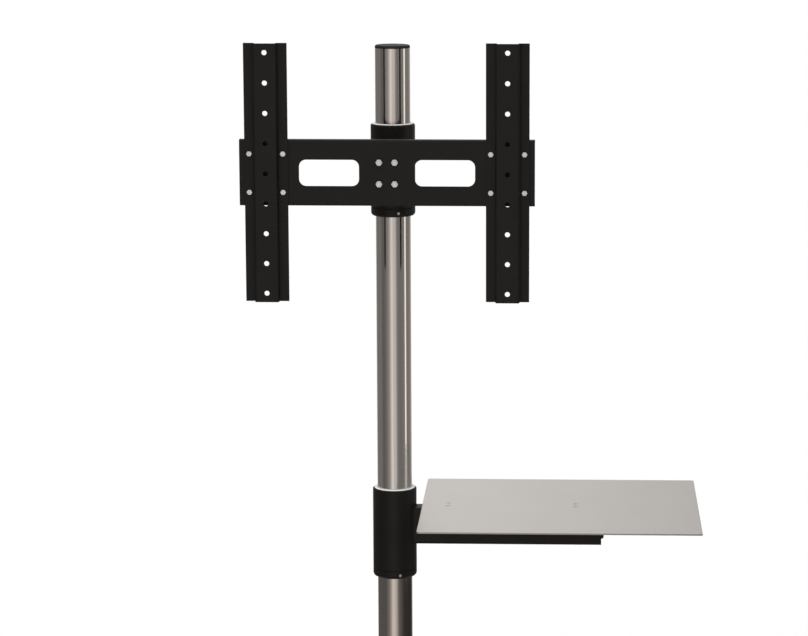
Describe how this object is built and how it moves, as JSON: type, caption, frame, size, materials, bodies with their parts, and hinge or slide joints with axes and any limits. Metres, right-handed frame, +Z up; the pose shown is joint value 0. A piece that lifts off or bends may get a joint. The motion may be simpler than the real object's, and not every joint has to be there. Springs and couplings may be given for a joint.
{
  "type": "tv stand",
  "caption": "Free-standing pole stand for a flat screen, with a round foot, a swivelling side shelf for a player and a swivelling, tilting screen mount that slide on the pole.",
  "frame": {"origin": "on the pole's axis, at the floor", "axes": "+Z up along the pole, -Y towards the viewer and the screen's front, +X to the viewer's right, where the shelf points at rest"},
  "size_m": [0.8079, 0.56, 1.415],
  "materials": {
    "stainless": "brushed",
    "black_powder_coat": "satin",
    "shelf_steel": "fine brushed",
    "white_nylon": "matte",
    "black_plastic": "matte",
    "zinc_steel": "bright zinc",
    "rubber": "matte"
  },
  "bodies": {
    "stand": {"base_mat": "rubber", "base_plate": "black_powder_coat", "pole_flange": "zinc_steel", "flange_washers": "zinc_steel", "flange_bolts": "zinc_steel", "pole_rosette": "stainless", "pole": "stainless", "pole_cap": "black_plastic"},
    "shelf_stop": {"shelf_stop_ring": "black_powder_coat", "shelf_stop_screws": "zinc_steel"},
    "shelf": {"shelf_sleeve": "black_powder_coat", "shelf_upper_bush": "white_nylon", "shelf_lower_bush": "white_nylon", "shelf_arm": "black_powder_coat", "shelf_arm_cap": "black_plastic", "shelf_plate": "shelf_steel", "shelf_screws": "zinc_steel"},
    "mount_stop": {"mount_stop_ring": "black_powder_coat", "mount_stop_screws": "zinc_steel"},
    "mount": {"mount_sleeve": "black_powder_coat", "mount_upper_bush": "white_nylon", "mount_lower_bush": "white_nylon", "mount_arm": "black_powder_coat", "tilt_yoke": "black_powder_coat", "tilt_bolt": "zinc_steel", "tilt_nut": "zinc_steel", "tilt_washers": "white_nylon"},
    "head": {"tilt_cradle": "black_powder_coat", "tilt_lock_screws": "zinc_steel", "cross_plate": "black_powder_coat", "left_rail": "black_powder_coat", "right_rail": "black_powder_coat", "cradle_bolts": "zinc_steel", "cradle_nuts": "zinc_steel", "rail_bolts": "zinc_steel", "rail_nuts": "zinc_steel"}
  },
  "joints": [
    {"name": "shelf_height", "type": "slide", "parent": "stand", "child": "shelf_stop", "axis": [0, 0, 1], "range_m": [-0.4, 0.15]},
    {"name": "shelf_swivel", "type": "hinge", "parent": "shelf_stop", "child": "shelf", "pos_m": [0, 0, 0.6], "axis": [0, 0, 1], "continuous": true},
    {"name": "mount_height", "type": "slide", "parent": "stand", "child": "mount_stop", "axis": [0, 0, 1], "range_m": [-0.15, 0.1]},
    {"name": "mount_swivel", "type": "hinge", "parent": "mount_stop", "child": "mount", "pos_m": [0, 0, 1.2], "axis": [0, 0, 1], "continuous": true},
    {"name": "mount_tilt", "type": "hinge", "parent": "mount", "child": "head", "pos_m": [0, -0.119, 1.2], "axis": [1, 0, 0], "range_deg": [-5, 15]}
  ]
}
